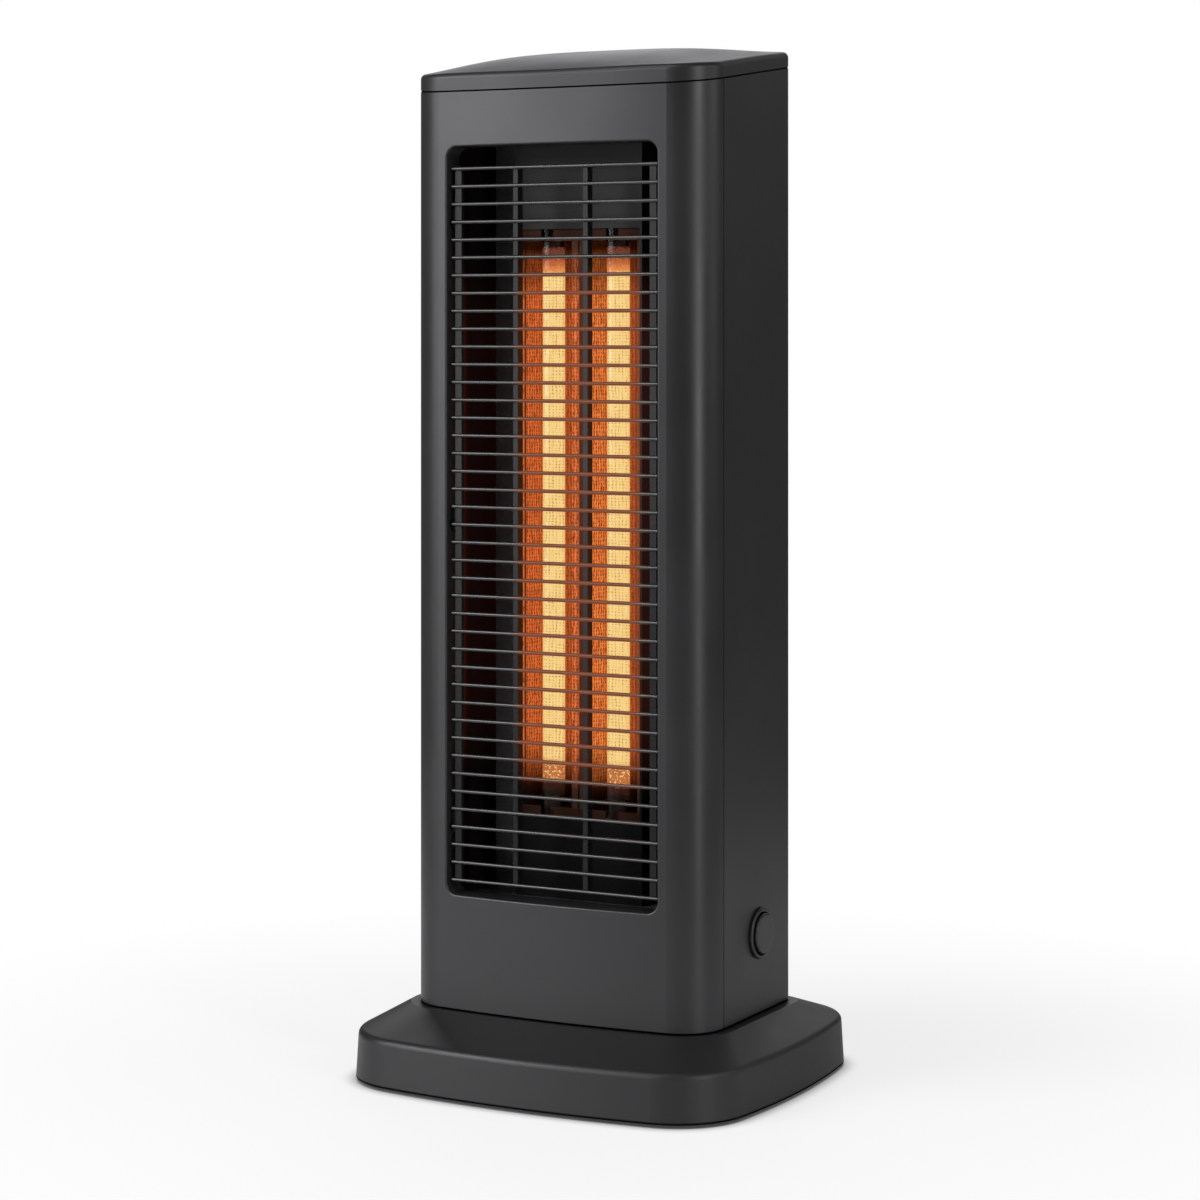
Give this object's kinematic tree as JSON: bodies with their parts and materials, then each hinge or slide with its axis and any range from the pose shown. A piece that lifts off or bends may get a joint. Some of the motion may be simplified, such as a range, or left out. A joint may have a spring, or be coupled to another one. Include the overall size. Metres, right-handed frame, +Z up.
{
  "type": "infrared patio heater tower",
  "caption": "Free-standing infrared heater tower with carbon elements behind a wire guard, a side power button and a weighted base.",
  "frame": {"origin": "middle of the base, on the surface that the feet stand on", "axes": "+Z up, -Y towards the front, +X to the right seen from the front"},
  "size_m": [0.258, 0.225, 0.6064],
  "materials": {
    "black_shell": "satin",
    "black_lid": "satin",
    "black_base": "satin",
    "seal_rubber": "matte",
    "guard_coating": "satin",
    "clip_steel": "matte",
    "dark_sheet": "matte",
    "zinc_sheet": "satin",
    "bracket_steel": "heat tinted",
    "mirror_aluminium": "polished",
    "quartz": "clear",
    "glowing_carbon": "matte",
    "clamp_metal": "satin",
    "cap_ceramic": "matte",
    "steel_fasteners": "satin",
    "button_ring": "satin",
    "button_cap": "satin gloss",
    "switch_plastic": "matte",
    "grip_plastic": "textured",
    "gland_plastic": "matte",
    "spring_steel": "bright",
    "cast_weight": "rough",
    "plunger_plastic": "smooth",
    "tip_steel": "satin",
    "cutout_metal": "satin",
    "terminal_ceramic": "matte",
    "terminal_brass": "satin",
    "wire_silicone": "matte",
    "wire_dark": "matte"
  },
  "bodies": {
    "tower": {"back_panel": "black_shell", "back_shield": "zinc_sheet", "base_cover": "black_base", "base_plate": "zinc_sheet", "base_screws": "steel_fasteners", "base_weight": "cast_weight", "body_mount_nuts": "steel_fasteners", "body_mount_screws": "steel_fasteners", "button_bezel": "button_ring", "button_spring": "spring_steel", "carry_grip": "grip_plastic", "ceramic_caps": "cap_ceramic", "chassis_floor": "zinc_sheet", "cord_gland": "gland_plastic", "cutout_screws": "steel_fasteners", "element_housing": "dark_sheet", "front_shell": "black_shell", "gland_nut": "gland_plastic", "grip_screws": "steel_fasteners", "guard_clips": "clip_steel", "heater_wires": "wire_silicone", "left_baffle": "dark_sheet", "left_carbon_ribbon": "glowing_carbon", "left_quartz_tube": "quartz", "left_reflector": "mirror_aluminium", "left_side_panel": "black_shell", "lid_gasket": "seal_rubber", "lid_screws": "steel_fasteners", "lower_shelf": "zinc_sheet", "power_switch": "switch_plastic", "rear_screws": "steel_fasteners", "ribbon_clamps": "clamp_metal", "right_baffle": "dark_sheet", "right_carbon_ribbon": "glowing_carbon", "right_quartz_tube": "quartz", "right_reflector": "mirror_aluminium", "right_side_panel": "black_shell", "rubber_feet": "seal_rubber", "shield_screws": "steel_fasteners", "switch_nut": "switch_plastic", "switch_wires": "wire_dark", "terminal_block": "terminal_ceramic", "terminal_screws": "terminal_brass", "thermal_cutout": "cutout_metal", "tip_bracket": "tip_steel", "tip_spring": "spring_steel", "tip_switch": "switch_plastic", "tip_switch_screws": "steel_fasteners", "top_lid": "black_lid", "tube_bracket_bottom": "bracket_steel", "tube_bracket_top": "bracket_steel", "upper_shelf": "zinc_sheet", "wire_guard": "guard_coating"},
    "power_button": {"power_button": "button_cap"},
    "tip_plunger": {"tip_plunger": "plunger_plastic"},
    "tip_lever": {"tip_lever": "tip_steel"},
    "tip_pin": {"tip_pin": "plunger_plastic"}
  },
  "joints": [
    {"name": "power_button_press", "type": "slide", "parent": "tower", "child": "power_button", "axis": [-1, 0, 0], "range_m": [0, 0.0025], "stiffness_N_per_m": 500, "springref_m": -0.003, "deforming": ["button_spring"]},
    {"name": "tip_plunger_drop", "type": "slide", "parent": "tower", "child": "tip_plunger", "axis": [0, 0, -1], "range_m": [0, 0.004], "stiffness_N_per_m": 60, "springref_m": 0.008, "deforming": ["tip_spring"]},
    {"name": "tip_lever_swing", "type": "hinge", "parent": "tower", "child": "tip_lever", "pos_m": [-0.038, 0.01, 0.02385], "axis": [0, 1, 0], "range_deg": [0, 11.6]},
    {"name": "tip_pin_slide", "type": "slide", "parent": "tower", "child": "tip_pin", "axis": [0, 0, -1], "range_m": [0, 0.00105]}
  ],
  "couplings": [
    {"joint": "tip_lever_swing", "follows": "tip_plunger_drop", "rad_per_m": 50},
    {"joint": "tip_pin_slide", "follows": "tip_plunger_drop", "ratio": 0.25}
  ]
}
